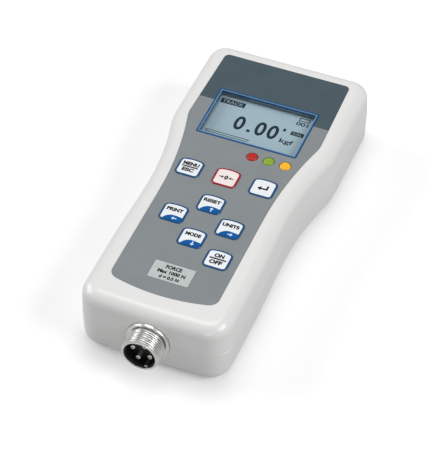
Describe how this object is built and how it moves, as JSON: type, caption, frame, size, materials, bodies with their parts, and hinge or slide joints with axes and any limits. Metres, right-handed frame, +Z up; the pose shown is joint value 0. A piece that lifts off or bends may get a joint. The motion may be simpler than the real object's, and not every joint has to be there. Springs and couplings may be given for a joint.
{
  "type": "force gauge",
  "caption": "Hand-held force gauge body with a waisted two-part casing, a recessed display, sprung keys, status lamps and a round threaded socket for a separate force sensor.",
  "frame": {"origin": "under the middle of the whole length, on the plane that the rubber feet stand on", "axes": "+Z up out of the front panel, +Y towards the display end, +X to the right of the display; the sensor connector points along -Y"},
  "size_m": [0.0746, 0.172, 0.0304],
  "materials": {
    "casing_plastic": "satin",
    "panel_film": "satin",
    "frame_blue": "satin",
    "window": "clear",
    "lcd": "satin",
    "backlight": "matte",
    "holder_plastic": "matte",
    "plate_metal": "satin",
    "board": "matte",
    "switch_black": "matte",
    "chip_black": "matte",
    "shield_steel": "satin",
    "screw_steel": "satin",
    "foot_rubber": "matte",
    "cell_case": "gloss",
    "contact_nickel": "satin",
    "connector_nickel": "polished",
    "insulator_black": "matte",
    "pin_nickel": "polished",
    "key_plastic": "satin",
    "key_zero_plastic": "satin",
    "lamp_red": "gloss",
    "lamp_green": "gloss",
    "lamp_amber": "gloss"
  },
  "bodies": {
    "gauge": {"upper_casing": "casing_plastic", "lower_casing": "casing_plastic", "battery_cover": "casing_plastic", "front_panel": "panel_film", "display_frame": "frame_blue", "display_window": "window", "lcd_glass": "lcd", "lcd_backlight": "backlight", "display_holder": "holder_plastic", "range_plate": "plate_metal", "main_board": "board", "key_switches": "switch_black", "control_chips": "chip_black", "amplifier_shield": "shield_steel", "board_screws": "screw_steel", "case_screws": "screw_steel", "cover_screws": "screw_steel", "rubber_feet": "foot_rubber", "battery_cells": "cell_case", "battery_contacts": "contact_nickel", "connector_shell": "connector_nickel", "connector_washer": "connector_nickel", "connector_nut": "connector_nickel", "connector_insulator": "insulator_black", "connector_pins": "pin_nickel", "lamp_red": "lamp_red", "lamp_green": "lamp_green", "lamp_amber": "lamp_amber"},
    "menu_key": {"key_menu": "key_plastic"},
    "zero_key": {"key_zero": "key_zero_plastic"},
    "enter_key": {"key_enter": "key_plastic"},
    "reset_key": {"key_reset": "key_plastic"},
    "print_key": {"key_print": "key_plastic"},
    "units_key": {"key_units": "key_plastic"},
    "mode_key": {"key_mode": "key_plastic"},
    "power_key": {"key_power": "key_plastic"}
  },
  "joints": [
    {"name": "menu_press", "type": "slide", "parent": "gauge", "child": "menu_key", "axis": [0, 0, -1], "range_m": [0, 0.0005], "stiffness_N_per_m": 3000},
    {"name": "zero_press", "type": "slide", "parent": "gauge", "child": "zero_key", "axis": [0, 0, -1], "range_m": [0, 0.0005], "stiffness_N_per_m": 3000},
    {"name": "enter_press", "type": "slide", "parent": "gauge", "child": "enter_key", "axis": [0, 0, -1], "range_m": [0, 0.0005], "stiffness_N_per_m": 3000},
    {"name": "reset_press", "type": "slide", "parent": "gauge", "child": "reset_key", "axis": [0, 0, -1], "range_m": [0, 0.0005], "stiffness_N_per_m": 3000},
    {"name": "print_press", "type": "slide", "parent": "gauge", "child": "print_key", "axis": [0, 0, -1], "range_m": [0, 0.0005], "stiffness_N_per_m": 3000},
    {"name": "units_press", "type": "slide", "parent": "gauge", "child": "units_key", "axis": [0, 0, -1], "range_m": [0, 0.0005], "stiffness_N_per_m": 3000},
    {"name": "mode_press", "type": "slide", "parent": "gauge", "child": "mode_key", "axis": [0, 0, -1], "range_m": [0, 0.0005], "stiffness_N_per_m": 3000},
    {"name": "power_press", "type": "slide", "parent": "gauge", "child": "power_key", "axis": [0, 0, -1], "range_m": [0, 0.0005], "stiffness_N_per_m": 3000}
  ]
}
